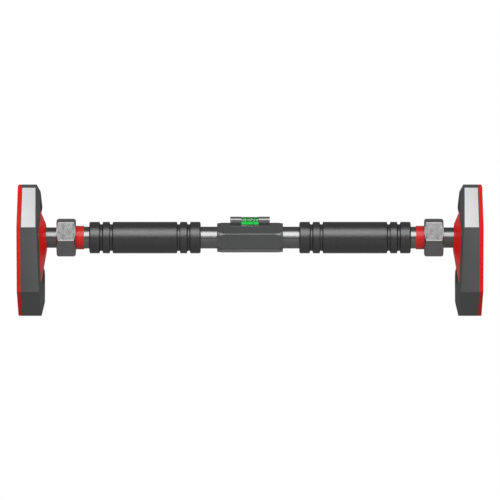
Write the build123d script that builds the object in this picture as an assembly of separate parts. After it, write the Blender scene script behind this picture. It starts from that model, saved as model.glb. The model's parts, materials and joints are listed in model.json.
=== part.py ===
"""Doorway pull-up bar: a centre tube with two foam grips and a bubble level, two inner
tubes that screw out of it on lead screws, a hexagonal lock nut for each, and an eccentric
hexagonal end plate with a rubber pad at each end.

X runs along the bar, Z is up and the origin is on the bar's axis at mid-length. The right
end is modelled at +X. The left end is the same parts turned half way round about Z.
Everything is drawn screwed fully in. Sizes are in millimetres.
"""

from build123d import *
from math import cos, radians, sin, tan
import os

# ---- overall -------------------------------------------------------------------------
overall_length = 720.0        # over both rubber pads, with both ends screwed in
end_travel = 100.0            # how far each end screws out
running_gap = 0.05            # radial clearance of a turning fit
sliding_gap = 0.10            # radial clearance of a tube that slides in a tube
free_gap = 0.30               # clearance between pieces that must not rub
seat_gap = 0.05               # clearance of a piece that is fixed in its seat

# ---- lead screws and centre tube, sized from the screw outwards ----------------------
screw_diameter = 20.0
drive_nut_wall = 4.4          # between the screw and the inner tube
inner_tube_wall = 1.5
tube_wall = 1.0
tube_end_to_pad = 84.0        # centre tube's end to the pad's outer face, screwed in
anchor_half_length = 26.0
anchor_edge = 1.0
anchor_pin_diameter = 5.0
anchor_pin_spacing = 24.0
anchor_pin_head_height = 0.8
screw_root_length = 10.0      # how deep each lead screw is set into the anchor
screw_edge = 1.2
stop_washer_gap = 0.9         # between the stop washer and the inner tube
stop_washer_thickness = 3.0
stop_gap = 0.5                # left between the drive nut and the stop at full travel
stop_bolt_diameter = 8.0
stop_bolt_length = 17.0
stop_head_diameter = 13.0
stop_head_height = 5.0
stop_key_across_flats = 6.0

# ---- foam grips ----------------------------------------------------------------------
foam_thickness = 7.5
grip_start = 76.6
grip_to_collar = 8.1
grip_end_band = 16.2          # from the grip's end to its first groove
grip_groove_width = 4.8
grip_mid_band = 10.8          # between the two grooves of a pair
grip_groove_depth = 3.8
grip_edge_radius = 2.5

# ---- threaded collar on the centre tube's end ----------------------------------------
collar_wall = 1.5
collar_on_tube = 18.4         # length of collar over the centre tube
collar_thread_pitch = 3.0
collar_groove_depth = 0.6
collar_taper_length = 7.0
collar_nose_drop = 1.65       # how much the taper takes off the radius
collar_in_clamp = 3.5         # how far the tapered fingers reach into the clamp ring
collar_slot_width = 1.6
collar_slot_count = 4

# ---- lock nut and the clamp ring inside it -------------------------------------------
nut_over_tube = 5.4           # length of nut over the centre tube
nut_length = 29.6
nut_wall = 8.75               # from the collar to the middle of a flat
nut_edge_radius = 1.6
nut_end_chamfer = 2.6
nut_chamfer_slope = 1.6
nut_lip_length = 5.9          # the front wall that the inner tube passes through
nut_lip_gap = 0.4
clamp_ring_length = 7.0

# ---- drive nut and the pieces on its spigot ------------------------------------------
inner_tube_start = 86.0
drive_nut_length = 30.0
drive_pin_diameter = 4.0
drive_pin_end_gap = 1.0       # between a pin and the lead screw
drive_pin_sink = 0.2          # how far a pin lies below the inner tube's skin
spigot_wall = 2.4
spigot_length = 9.5
glide_ring_length = 6.6
glide_ring_edge = 0.6
circlip_thickness = 1.2
circlip_width = 2.5
circlip_groove_depth = 0.8
circlip_end_wall = 1.0
circlip_gap_degrees = 50.0

# ---- end plates ----------------------------------------------------------------------
plate_half_width = 88.6
plate_shoulder = 50.3         # half height of the upright front and back sides
plate_half_height = 101.4
plate_apex_half_width = 13.0  # half width of the flats at the top and the bottom
plate_drop = 19.9             # the plate's centre is this far below the bar's axis
plate_depth = 32.3            # shell's depth at the plate's centre
plate_lean = 1.9              # the inner face leans by this many degrees, deeper below
rim_depth = 26.6              # shell's depth at its edge, level with the plate's centre
rim_lean = 2.1
bevel_width_top = 10.5        # from the edge to the inner face, growing towards the bottom
bevel_width_bottom = 19.0
bevel_width_side = 36.0        # on the upright sides, where the window cuts it short
shell_wall = 3.0
rib_wall = 2.0
pad_thickness = 5.8
pad_edge = 1.0
pad_groove_depth = 1.2
pad_groove_width = 3.0
pad_groove_pitch = 14.0
pad_groove_start = 8.4
pad_groove_count = 5
backing_thickness = 4.0
backing_gap = 0.4
window_side_border = 19.1     # from the plate's edge to the window that the hub fills
window_top_border = 15.5
window_bottom_border = 46.3
window_upper_shoulder = 25.0  # heights of the window's side corners
window_lower_shoulder = -57.0
rib_place = 34.0              # the cross ribs above and below the plate's centre
window_apex_half_width = 12.0
trim_thickness = 0.8
trim_border = 1.2

# ---- hub in the middle of the end plate ----------------------------------------------
hub_wall = 3.0
hub_nose_wall = 4.6           # round the inner tube, at the nose's top and bottom
hub_nose_to_pad = 43.9        # nose plane to the pad's outer face, on the bar's axis
hub_base_to_pad = 29.0        # where the sloping faces end, on the bar's axis
hub_base_lean = 4.66
hub_window_gap = 0.4
hub_boss_radius = 5.0
hub_boss_gap = 6.0            # between a boss and the socket's flange
hub_boss_angle = 35.0
hub_screw_diameter = 4.0
hub_screw_length = 16.0
screw_head_diameter = 8.0
screw_head_height = 2.4
screw_drive_length = 4.6
screw_drive_width = 1.1
screw_drive_depth = 1.0
plate_screw_diameter = 4.0
plate_screw_length = 14.0
plate_boss_radius = 5.0
plate_boss_inset = 15.0       # boss centre to the plate's corner
screw_hole_end = 1.0          # depth of hole past a screw's tip
socket_wall = 3.6
socket_length = 28.0
socket_flange_width = 13.45
socket_flange_thickness = 4.0
socket_fillet = 5.0
socket_bolt_diameter = 6.0
socket_bolt_head_height = 4.0
socket_bolt_head_width = 10.0
socket_bolt_tip = 3.0         # thread that shows past its nut
socket_bolt_place = 15.4      # bolt's axis to the backing plate

# ---- bubble level --------------------------------------------------------------------
level_half_length = 51.1
level_wall = 4.3              # from the centre tube to the middle of a flat
level_edge_radius = 3.0
level_end_length = 13.0
level_end_drop = 2.0
level_lean = 8.0              # the level is turned this many degrees to the front
level_groove_width = 7.0
level_screw_place = 36.8      # closing screw to mid-length
level_screw_radius = 0.75
level_screw_length = 5.0
level_screw_seat = 1.6        # head's seat to the parting
level_head_radius = 1.5
level_head_height = 1.4
vial_diameter = 11.6
vial_wall = 1.4
vial_length = 56.0
vial_sink = 2.73              # how far the sleeves lie below the housing's corner
vial_sleeve_wall = 0.35
vial_sleeve_length = 17.6
vial_sleeve_overhang = 2.7    # sleeve's closed end past the vial
vial_sleeve_edge = 0.25
vial_marker_spacing = 10.0
vial_marker_width = 0.5
vial_marker_depth = 0.2
bubble_length = 8.5
bubble_radius = 1.9

# ---- worked out from the screw outwards ----------------------------------------------
half_angle = radians(30)
screw_radius = screw_diameter / 2
spigot_radius = screw_radius + spigot_wall
inner_bore = screw_radius + drive_nut_wall
inner_radius = inner_bore + inner_tube_wall
tube_bore = inner_radius + sliding_gap
tube_radius = tube_bore + tube_wall
grip_radius = tube_radius + foam_thickness
collar_radius = tube_radius + collar_wall
nut_across_flats = 2 * (collar_radius + nut_wall)
nut_corner = nut_across_flats / 2 / cos(half_angle)
stop_washer_radius = inner_bore - stop_washer_gap
socket_bore = inner_radius + seat_gap
socket_radius = socket_bore + socket_wall
socket_flange_radius = socket_radius + socket_flange_width
hub_nose_radius = inner_radius + hub_nose_wall
hub_boss_reach = socket_flange_radius + hub_boss_gap + hub_boss_radius

# ---- worked out along the bar --------------------------------------------------------
pad_outer_x = overall_length / 2
shell_back_x = pad_outer_x - pad_thickness
backing_x = shell_back_x - backing_thickness
plate_face_x = shell_back_x - plate_depth
plate_front_x = plate_face_x - plate_depth / 2
rim_x = shell_back_x - rim_depth
nose_x = pad_outer_x - hub_nose_to_pad
hub_base_x = pad_outer_x - hub_base_to_pad
inner_tube_end = backing_x - free_gap
socket_bolt_x = backing_x - socket_bolt_place
tube_half_length = pad_outer_x - tube_end_to_pad
collar_start = tube_half_length - collar_on_tube
grip_length = collar_start - grip_to_collar - grip_start
nut_start = tube_half_length - nut_over_tube
nut_end = nut_start + nut_length
clamp_ring_end = nut_end - nut_lip_length - free_gap
clamp_ring_start = clamp_ring_end - clamp_ring_length
collar_end = clamp_ring_start + collar_in_clamp
drive_nut_end = inner_tube_start + drive_nut_length
spigot_start = inner_tube_start - spigot_length
circlip_start = spigot_start + circlip_end_wall
circlip_end = circlip_start + circlip_thickness
stop_x = drive_nut_end + end_travel + stop_gap
stop_seat = stop_x + stop_washer_thickness

# ---- worked out for the window and the level -----------------------------------------
window_half_width = plate_half_width - window_side_border
window_top = plate_half_height - plate_drop - window_top_border
window_bottom = window_bottom_border - plate_half_height - plate_drop
level_flat = tube_radius + level_wall
level_corner = level_flat / cos(half_angle) - level_edge_radius * (1 / cos(half_angle) - 1)
vial_radius = vial_diameter / 2
vial_sleeve_radius = vial_radius + seat_gap + vial_sleeve_wall
vial_height = level_corner - vial_sink + vial_sleeve_radius
vial_end = vial_length / 2 + vial_sleeve_overhang


# ---- helpers -------------------------------------------------------------------------
def rod(x_start, x_end, radius):
    """A cylinder along the bar's axis."""
    return extrude(Plane.YZ.offset(x_start) * Circle(radius), amount=x_end - x_start)


def ring(x_start, x_end, outer, inner):
    """A tube along the bar's axis."""
    return rod(x_start, x_end, outer) - rod(x_start - 1, x_end + 1, inner)


def cone(x_start, x_end, radius_start, radius_end):
    """A cone or a cone's slice along the bar's axis."""
    profile = Polyline(
        (x_start, 0), (x_end, 0), (x_end, radius_end), (x_start, radius_start), close=True
    )
    return revolve(make_face(Plane.XY * profile), axis=Axis.X)


def cross_rod(x, radius, reach):
    """A cylinder through the bar's axis from front to back, as long as twice its reach."""
    return extrude(Plane.XZ.offset(-reach) * Pos(x, 0) * Circle(radius), amount=2 * reach)


def six_sided(across_flats, turn=0):
    """A regular hexagon with a corner on its first axis, turned by some degrees."""
    return RegularPolygon(across_flats / 2, 6, major_radius=False, rotation=turn)


def cut_hexagon(half_width, shoulders, ends, apex, inset=0.0):
    """A tall hexagon with its top and bottom points cut flat, from its heights (low, high)."""
    low_shoulder, high_shoulder = shoulders
    bottom, top = ends
    left = [(-apex, top), (-half_width, high_shoulder), (-half_width, low_shoulder), (-apex, bottom)]
    right = [(apex, bottom), (half_width, low_shoulder), (half_width, high_shoulder), (apex, top)]
    face = make_face(Polyline(*left, *right, close=True))
    return offset(face, -inset, kind=Kind.INTERSECTION) if inset else face


def leaning_plane(x, z, lean):
    """A plane across the bar whose inner side faces inwards and a little upwards."""
    inwards = (-cos(radians(lean)), 0, sin(radians(lean)))
    return Plane(origin=(x, 0, z), x_dir=(0, 1, 0), z_dir=inwards)


def save(name, shape):
    """Write one sub-part."""
    export_step(shape, f"parts/{name}.step")


def save_both_ends(name, shape):
    """Write a right-hand sub-part and its twin at the left end."""
    save(f"right_{name}", shape)
    save(f"left_{name}", Rot(0, 0, 180) * shape)


# ---- centre tube ---------------------------------------------------------------------
def pin_places():
    """Where the anchor's cross pins stand along the bar."""
    return (-anchor_pin_spacing / 2, anchor_pin_spacing / 2)


def outer_tube():
    tube = ring(-tube_half_length, tube_half_length, tube_radius, tube_bore)
    for x in pin_places():
        tube -= cross_rod(x, anchor_pin_diameter / 2 + seat_gap, tube_radius + 1)
    return tube


def screw_anchor():
    """The plug at mid-length that both lead screws are fixed in."""
    anchor = rod(-anchor_half_length, anchor_half_length, tube_bore - seat_gap)
    anchor = chamfer(anchor.edges().filter_by(GeomType.CIRCLE), anchor_edge)
    for x in pin_places():
        anchor -= cross_rod(x, anchor_pin_diameter / 2 + seat_gap, tube_radius + 1)
    depth = anchor_half_length - screw_root_length
    anchor -= rod(depth, anchor_half_length + 1, screw_radius + seat_gap)
    anchor -= rod(-anchor_half_length - 1, -depth, screw_radius + seat_gap)
    return anchor


def anchor_pins():
    """Two cross pins. Their ends stand proud of the tube and keep the level in place."""
    reach = tube_radius + anchor_pin_head_height
    return Compound([cross_rod(x, anchor_pin_diameter / 2, reach) for x in pin_places()])


def lead_screw():
    screw = rod(anchor_half_length - screw_root_length, stop_x, screw_radius)
    screw = chamfer(screw.edges().filter_by(GeomType.CIRCLE), screw_edge)
    hole_start = stop_x - stop_bolt_length - screw_hole_end
    return screw - rod(hole_start, stop_x + 1, stop_bolt_diameter / 2 + seat_gap)


def screw_stop_washer():
    return ring(stop_x, stop_seat, stop_washer_radius, stop_bolt_diameter / 2 + free_gap)


def screw_stop_bolt():
    head = rod(stop_seat, stop_seat + stop_head_height, stop_head_diameter / 2)
    shank = rod(stop_x - stop_bolt_length, stop_seat, stop_bolt_diameter / 2)
    key_plane = Plane.YZ.offset(stop_seat + stop_head_height / 2)
    return head + shank - extrude(key_plane * six_sided(stop_key_across_flats), amount=stop_head_height)


# ---- foam grips ----------------------------------------------------------------------
def foam_grip():
    grip_end = grip_start + grip_length
    grip = rod(grip_start, grip_end, grip_radius)
    grip = fillet(grip.edges().filter_by(GeomType.CIRCLE), grip_edge_radius)
    first = grip_end_band
    second = grip_end_band + grip_groove_width + grip_mid_band
    for from_end in (first, second):
        for x in (grip_start + from_end, grip_end - from_end - grip_groove_width):
            grip -= ring(x, x + grip_groove_width, grip_radius + 1, grip_radius - grip_groove_depth)
    return grip - rod(grip_start - 1, grip_end + 1, tube_radius + seat_gap)


# ---- threaded collar -----------------------------------------------------------------
def taper_radius(x):
    """Radius of the collar's tapered nose at a place along the bar."""
    share = (x - collar_end + collar_taper_length) / collar_taper_length
    return collar_radius - collar_nose_drop * share


def threaded_collar():
    taper_start = collar_end - collar_taper_length
    collar = rod(collar_start, taper_start, collar_radius)
    collar += cone(taper_start, collar_end, collar_radius, taper_radius(collar_end))
    collar -= rod(collar_start - 1, tube_half_length + seat_gap, tube_radius + seat_gap)
    collar -= rod(tube_half_length - 1, collar_end + 1, inner_radius + sliding_gap)
    root = collar_radius - collar_groove_depth
    x = collar_start + collar_thread_pitch
    while x < nut_start:
        collar -= ring(x, x + collar_thread_pitch / 3, collar_radius + 1, root)
        x += collar_thread_pitch
    slot_start = tube_half_length + 2
    slot_size = (collar_end + 1 - slot_start, collar_slot_width, collar_radius)
    slot_place = Pos((collar_end + 1 + slot_start) / 2, 0, inner_radius + collar_radius / 2)
    for i in range(collar_slot_count):
        turn = (i + 0.5) * 360 / collar_slot_count
        collar -= Rot(turn, 0, 0) * slot_place * Box(*slot_size)
    return collar


# ---- lock nut and clamp ring ---------------------------------------------------------
def lock_nut():
    hexagon = extrude(Plane.YZ.offset(nut_start) * six_sided(nut_across_flats), amount=nut_length)
    hexagon = fillet(hexagon.edges().filter_by(Axis.X), nut_edge_radius)
    inner_x, outer_x = nut_start + nut_end_chamfer, nut_end - nut_end_chamfer
    small = nut_corner - nut_chamfer_slope * nut_end_chamfer
    blank = rod(inner_x, outer_x, nut_corner)
    blank += cone(nut_start, inner_x, small, nut_corner) + cone(outer_x, nut_end, nut_corner, small)
    nut = hexagon & blank
    nut -= rod(nut_start - 1, nut_end - nut_lip_length, collar_radius + running_gap)
    return nut - rod(nut_start, nut_end + 1, inner_radius + nut_lip_gap)


def clamp_ring():
    """The thrust ring that the nut pushes along the collar's tapered fingers."""
    clamp = rod(clamp_ring_start, clamp_ring_end, collar_radius - free_gap)
    clamp -= cone(
        clamp_ring_start,
        collar_end + free_gap,
        taper_radius(clamp_ring_start) + free_gap,
        taper_radius(collar_end) + free_gap,
    )
    return clamp - rod(clamp_ring_start - 1, clamp_ring_end + 1, inner_radius + nut_lip_gap)


# ---- inner tube and drive nut --------------------------------------------------------
def drive_pin_places():
    """Where the pins through the inner tube and its drive nut stand along the bar."""
    return (inner_tube_start + drive_nut_length / 3, inner_tube_start + drive_nut_length * 2 / 3)


def inner_tube():
    tube = ring(inner_tube_start, inner_tube_end, inner_radius, inner_bore)
    for x in drive_pin_places():
        tube -= cross_rod(x, drive_pin_diameter / 2 + seat_gap, inner_radius + 1)
    return tube - cross_rod(socket_bolt_x, socket_bolt_diameter / 2 + seat_gap, inner_radius + 1)


def drive_nut():
    """The nut that runs on the lead screw, with a spigot that carries the glide ring."""
    nut = rod(inner_tube_start, drive_nut_end, inner_bore - seat_gap)
    nut += rod(spigot_start, inner_tube_start, spigot_radius)
    nut -= rod(spigot_start - 1, drive_nut_end + 1, screw_radius + running_gap)
    groove_floor = spigot_radius - circlip_groove_depth
    nut -= ring(circlip_start - seat_gap, circlip_end + seat_gap, spigot_radius + 1, groove_floor)
    for x in drive_pin_places():
        nut -= cross_rod(x, drive_pin_diameter / 2 + seat_gap, inner_radius + 1)
    return nut


def drive_pins():
    """Short pins, front and back, that stop short of the lead screw and of the tube's skin."""
    outer = inner_radius - drive_pin_sink
    room = ring(inner_tube_start, drive_nut_end, outer, screw_radius + drive_pin_end_gap)
    pins = [cross_rod(x, drive_pin_diameter / 2, inner_radius) & room for x in drive_pin_places()]
    return Compound([solid for pin in pins for solid in pin.solids()])


def circlip():
    inner = spigot_radius - circlip_groove_depth + seat_gap
    outer = inner + circlip_width
    gap = 2 * outer * sin(radians(circlip_gap_degrees / 2))
    cut = Pos((circlip_start + circlip_end) / 2, 0, outer) * Box(circlip_thickness + 2, gap, 2 * outer)
    return ring(circlip_start, circlip_end, outer, inner) - cut


def glide_ring():
    """The plastic ring that the inner tube's end turns in and slides along the centre tube on."""
    end = inner_tube_start - free_gap
    start = end - glide_ring_length
    body = ring(start, end, tube_bore - sliding_gap, spigot_radius + running_gap)
    outer_edges = body.edges().filter_by(GeomType.CIRCLE).group_by(SortBy.RADIUS)[-1]
    return chamfer(outer_edges, glide_ring_edge)


# ---- end plate -----------------------------------------------------------------------
def outline(inset=0.0):
    """The end plate's own outline."""
    shoulders = (-plate_drop - plate_shoulder, -plate_drop + plate_shoulder)
    ends = (-plate_drop - plate_half_height, -plate_drop + plate_half_height)
    return cut_hexagon(plate_half_width, shoulders, ends, plate_apex_half_width, inset)


def window(inset=0.0):
    """The outline of the window that the hub fills."""
    shoulders = (window_lower_shoulder, window_upper_shoulder)
    ends = (window_bottom, window_top)
    return cut_hexagon(window_half_width, shoulders, ends, window_apex_half_width, inset)


def corner_places():
    """Screw places in the plate's lower point and its four side corners."""
    side = plate_half_width - plate_boss_inset * cos(half_angle)
    shoulder = plate_shoulder - plate_boss_inset * sin(half_angle) - rib_wall
    places = [(side, shoulder), (side, -shoulder), (-side, -shoulder), (-side, shoulder)]
    places.append((0, plate_boss_inset - plate_half_height))
    return [(y, z - plate_drop) for y, z in places]


def lean_x(x, lean, z):
    """Where a leaning plane that starts level with the plate's centre stands at a height."""
    return x + tan(radians(lean)) * (z + plate_drop)


def bevel_plane(start, end, inset):
    """The plane from one edge of the rim to the inner face, facing inwards and outwards."""
    middle = (start + end) / 2
    along = (end - start).normalized()
    across = Vector(0, -along.Z, along.Y)
    if across.dot(Vector(0, middle.Y, middle.Z + plate_drop)) > 0:
        across = -across
    share = (plate_half_height - plate_drop - middle.Z) / (2 * plate_half_height)
    width = bevel_width_top + share * (bevel_width_bottom - bevel_width_top)
    if abs(along.Z) > abs(along.Y):
        width = bevel_width_side
    inner = middle + across * width
    rim_point = Vector(lean_x(rim_x, rim_lean, middle.Z), middle.Y, middle.Z)
    face_point = Vector(lean_x(plate_face_x, plate_lean, inner.Z), inner.Y, inner.Z)
    run = Vector(lean_x(rim_x, rim_lean, end.Z) - rim_point.X, end.Y - middle.Y, end.Z - middle.Z)
    normal = run.cross(face_point - rim_point).normalized()
    if normal.X > 0:
        normal = -normal
    return Plane(origin=rim_point - normal * inset, z_dir=normal)


def plate_block(inset):
    """The end plate's outer form, or the same form shrunk by an inset on every side but its back."""
    block = extrude(Plane.YZ.offset(plate_front_x) * outline(inset), amount=shell_back_x - plate_front_x)
    face_plane = leaning_plane(plate_face_x + inset, -plate_drop, plate_lean)
    block = split(block, bisect_by=face_plane, keep=Keep.BOTTOM)
    for edge in outline().edges():
        corners = [Vector(0, point.X, point.Y) for point in (edge @ 0, edge @ 1)]
        block = split(block, bisect_by=bevel_plane(*corners, inset), keep=Keep.BOTTOM)
    return block


def facet_frame(side):
    """A plane on one upper slanted face, its x axis up along the slope, and the slope's length."""
    low = Vector(0, side * plate_half_width, plate_shoulder - plate_drop)
    high = Vector(0, side * plate_apex_half_width, plate_half_height - plate_drop)
    along = (high - low).normalized()
    outward = Vector(0, side * along.Z, abs(along.Y))
    middle = (low + high) / 2 + Vector((plate_face_x + shell_back_x) / 2, 0, 0)
    return Plane(origin=middle, x_dir=along, z_dir=outward), (high - low).length


def trim_panel(side, border, thickness):
    """A thin panel let into one upper slanted face, following its leaning inner edge."""
    frame, length = facet_frame(side)
    blank = extrude(frame * Rectangle(length - 2 * border, 2 * plate_depth), amount=-thickness)
    rim = leaning_plane(rim_x + border, -plate_drop, rim_lean)
    blank = split(blank, bisect_by=rim, keep=Keep.BOTTOM)
    back = Plane(origin=(shell_back_x - border, 0, 0), x_dir=(0, 1, 0), z_dir=(1, 0, 0))
    return split(blank, bisect_by=back, keep=Keep.BOTTOM)


def trim_panels():
    panels = [trim_panel(side, trim_border + seat_gap, trim_thickness) for side in (-1, 1)]
    return Compound(panels)


def screw_hole(y, z, diameter, length):
    """The hole in a moulded boss for a screw driven from the plate's back."""
    start = shell_back_x - length - screw_hole_end
    return Pos(0, y, z) * rod(start, shell_back_x, diameter / 2 + seat_gap)


def plate_shell():
    """The grey moulded shell: rim, bevel and inner face, with a window for the hub."""
    inside = Plane.YZ.offset(plate_front_x)
    hollow = plate_block(shell_wall) - extrude(inside * window(-shell_wall), amount=backing_x - plate_front_x)
    for y, z in corner_places():
        hollow -= Pos(0, y, z) * rod(plate_front_x, backing_x, plate_boss_radius)
    rib_size = (backing_x - plate_front_x, 4 * plate_half_width, rib_wall)
    for z in (-plate_drop - rib_place, -plate_drop + rib_place):
        hollow -= Pos((plate_front_x + backing_x) / 2, 0, z) * Box(*rib_size)
    shell = plate_block(0) - hollow
    shell -= extrude(inside * window(), amount=shell_back_x + 1 - plate_front_x)
    for y, z in corner_places():
        shell -= screw_hole(y, z, plate_screw_diameter, plate_screw_length)
    for side in (-1, 1):
        shell -= trim_panel(side, trim_border, trim_thickness)
    return shell


def hub_screw_places():
    """Four screws round the hub, outside the socket's flange."""
    up = hub_boss_reach * sin(radians(hub_boss_angle))
    across = hub_boss_reach * cos(radians(hub_boss_angle))
    return [(across, up), (-across, up), (-across, -up), (across, -up)]


def countersunk_screw(y, z, diameter, length):
    """A flat-headed screw driven from the plate's back towards the bar's middle."""
    radius = diameter / 2
    head = cone(shell_back_x - screw_head_height, shell_back_x, radius, screw_head_diameter / 2)
    slot = Box(2 * screw_drive_depth, screw_drive_length, screw_drive_width)
    drive = Pos(shell_back_x, 0, 0) * (slot + Rot(90, 0, 0) * slot)
    shank = rod(shell_back_x - length, shell_back_x - screw_head_height, radius)
    return Pos(0, y, z) * (head + shank - drive)


def countersunk_hole(y, z, diameter):
    """The hole through the backing plate for a flat-headed screw."""
    radius = diameter / 2 + seat_gap
    sink = cone(
        shell_back_x - screw_head_height - seat_gap,
        shell_back_x + seat_gap,
        radius,
        screw_head_diameter / 2 + 2 * seat_gap,
    )
    return Pos(0, y, z) * (sink + rod(backing_x - 1, shell_back_x - screw_head_height, radius))


def plate_screws():
    places = corner_places()
    return Compound([countersunk_screw(y, z, plate_screw_diameter, plate_screw_length) for y, z in places])


def hub_screws():
    places = hub_screw_places()
    return Compound([countersunk_screw(y, z, hub_screw_diameter, hub_screw_length) for y, z in places])


def backing_plate():
    """The steel plate behind the shell that spreads the bar's thrust over the pad."""
    inset = shell_wall + backing_gap
    plate = extrude(Plane.YZ.offset(backing_x) * outline(inset), amount=backing_thickness)
    for y, z in corner_places():
        plate -= countersunk_hole(y, z, plate_screw_diameter)
    for y, z in hub_screw_places():
        plate -= countersunk_hole(y, z, hub_screw_diameter)
    return plate


def rubber_pad():
    """The pad that presses on the door jamb, with rings of grooves parallel to its edge."""
    pad = extrude(Plane.YZ.offset(shell_back_x) * outline(), amount=pad_thickness)
    pad = chamfer(pad.faces().sort_by(Axis.X)[-1].edges(), pad_edge)
    groove_x = pad_outer_x - pad_groove_depth
    for i in range(pad_groove_count):
        inset = pad_groove_start + i * pad_groove_pitch
        track = outline(inset) - outline(inset + pad_groove_width)
        pad -= extrude(Plane.YZ.offset(groove_x) * track, amount=pad_groove_depth + 1)
    return pad


# ---- hub and socket ------------------------------------------------------------------
def hub_block(inset):
    """The hub's outer form: a low leaning pyramid on an upright skirt."""
    wide, tall = hub_nose_radius * 0.93, hub_nose_radius
    nose = cut_hexagon(wide, (-tall * 0.46, tall * 0.46), (-tall, tall), tall * 0.29, inset)
    base = window(hub_window_gap + inset)
    base_plane = leaning_plane(hub_base_x + inset, 0, hub_base_lean)
    nose_plane = leaning_plane(nose_x + inset, 0, plate_lean)
    pyramid = loft([base_plane * Rot(180, 0, 0) * base, nose_plane * nose], ruled=True)
    skirt = extrude(Plane.YZ.offset(plate_front_x) * base, amount=backing_x - plate_front_x)
    skirt = split(skirt, bisect_by=base_plane, keep=Keep.BOTTOM)
    return pyramid + skirt


def hub_cover():
    """The red moulded cover in the plate's window, with bosses for its four screws."""
    cavity = hub_block(hub_wall)
    for y, z in hub_screw_places():
        cavity -= Pos(0, y, z) * rod(nose_x, backing_x, hub_boss_radius)
    cover = hub_block(0) - cavity
    cover -= rod(nose_x - 2 * hub_wall, nose_x + 2 * hub_wall, inner_radius + free_gap)
    for y, z in hub_screw_places():
        cover -= screw_hole(y, z, hub_screw_diameter, hub_screw_length)
    return cover


def tube_socket():
    """The steel sleeve and flange, welded to the backing plate, that the inner tube is bolted in."""
    start = backing_x - socket_length
    flange_start = backing_x - socket_flange_thickness
    socket = rod(start, backing_x, socket_radius) + rod(flange_start, backing_x, socket_flange_radius)
    weld_radius = socket_radius + socket_fillet
    socket += cone(flange_start - socket_fillet, flange_start, socket_radius, weld_radius)
    socket -= rod(start - 1, backing_x + 1, socket_bore)
    return socket - cross_rod(socket_bolt_x, socket_bolt_diameter / 2 + seat_gap, weld_radius + 1)


def along_bolt(profile, seat, length):
    """A profile carried along the socket bolt, from a seat towards the front."""
    return extrude(Plane.XZ.offset(seat) * Pos(socket_bolt_x, 0) * profile, amount=length)


def socket_bolt():
    """The bolt through socket and tube: hexagon head in front, plain shank to the back."""
    seat = socket_radius + seat_gap
    length = 2 * seat + socket_bolt_head_height + socket_bolt_tip
    shank = along_bolt(Circle(socket_bolt_diameter / 2), seat, -length)
    return shank + along_bolt(six_sided(socket_bolt_head_width), seat, socket_bolt_head_height)


def socket_bolt_nut():
    profile = six_sided(socket_bolt_head_width) - Circle(socket_bolt_diameter / 2 + seat_gap)
    return along_bolt(profile, -socket_radius - seat_gap, -socket_bolt_head_height - 1)


# ---- bubble level --------------------------------------------------------------------
def along_vial(x_start, x_end, radius):
    """A cylinder on the vial's axis, before the level is leant to the front."""
    return Pos(0, 0, vial_height) * rod(x_start, x_end, radius)


def level_envelope():
    """A round bar whose ends are pulled in by an arc, to round the housing's ends."""
    shoulder = level_half_length - level_end_length
    arc = ThreePointArc(
        (shoulder, level_corner),
        (shoulder + level_end_length * 0.6, level_corner - level_end_drop * 0.36),
        (level_half_length, level_corner - level_end_drop),
    )
    sides = Polyline(arc @ 1, (level_half_length, 0), (0, 0), (0, level_corner), arc @ 0)
    half = revolve(make_face(Plane.XY * (arc + sides)), axis=Axis.X)
    return half + Rot(0, 0, 180) * half


def level_body():
    """The whole hexagonal sleeve before it is cut in two, a corner up."""
    start = Plane.YZ.offset(-level_half_length)
    body = extrude(start * six_sided(2 * level_flat, 30), amount=2 * level_half_length)
    body = fillet(body.edges().filter_by(Axis.X), level_edge_radius) & level_envelope()
    body -= rod(-level_half_length - 1, level_half_length + 1, tube_radius + running_gap)
    groove_radius = tube_radius + anchor_pin_head_height + free_gap
    for x in pin_places():
        body -= rod(x - level_groove_width / 2, x + level_groove_width / 2, groove_radius)
    pocket = vial_end + free_gap
    return body - along_vial(-pocket, pocket, vial_sleeve_radius + seat_gap)


def parting_plane():
    """The cut between the two halves, from the upper front edge to the lower back edge."""
    return Plane(origin=(0, 0, 0), x_dir=(1, 0, 0), z_dir=(0, sin(half_angle), cos(half_angle)))


def level_screw_planes():
    """The two closing screws' planes in the parting, near the lower back edge."""
    reach = (tube_radius + level_corner) / 2
    centre = parting_plane().origin + Vector(0, cos(half_angle), -sin(half_angle)) * reach
    for x in (-level_screw_place, level_screw_place):
        plane = parting_plane()
        plane.origin = centre + Vector(x, 0, 0)
        yield plane


def level_halves():
    """Upper and lower half, with the closing screws' holes, leant to the front."""
    body = level_body()
    upper = split(body, bisect_by=parting_plane(), keep=Keep.TOP)
    lower = split(body, bisect_by=parting_plane(), keep=Keep.BOTTOM)
    for plane in level_screw_planes():
        tip = level_screw_length - level_screw_seat + seat_gap
        upper -= extrude(plane * Circle(level_screw_radius + seat_gap), amount=tip)
        lower -= extrude(plane * Circle(level_screw_radius + seat_gap), amount=-level_flat)
        lower -= extrude(plane.offset(-level_screw_seat) * Circle(level_head_radius + 0.1), amount=-level_flat)
    return lean(upper), lean(lower)


def level_screws():
    screws = []
    for plane in level_screw_planes():
        seat = plane.offset(-level_screw_seat)
        shank = extrude(seat * Circle(level_screw_radius), amount=level_screw_length)
        screws.append(lean(shank + extrude(seat * Circle(level_head_radius), amount=-level_head_height)))
    return Compound(screws)


def lean(shape):
    """Turn a piece of the level about the bar, to the front."""
    return Rot(level_lean, 0, 0) * shape


def marker_places():
    """Where the two marker lines start along the vial."""
    first = (vial_marker_spacing + vial_marker_width) / 2
    return (-first, first - vial_marker_width)


def marker_ring(x, outer):
    """A band round the vial at one marker line."""
    end = x + vial_marker_width
    return along_vial(x, end, outer) - along_vial(x - 1, end + 1, vial_radius - vial_marker_depth)


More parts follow.
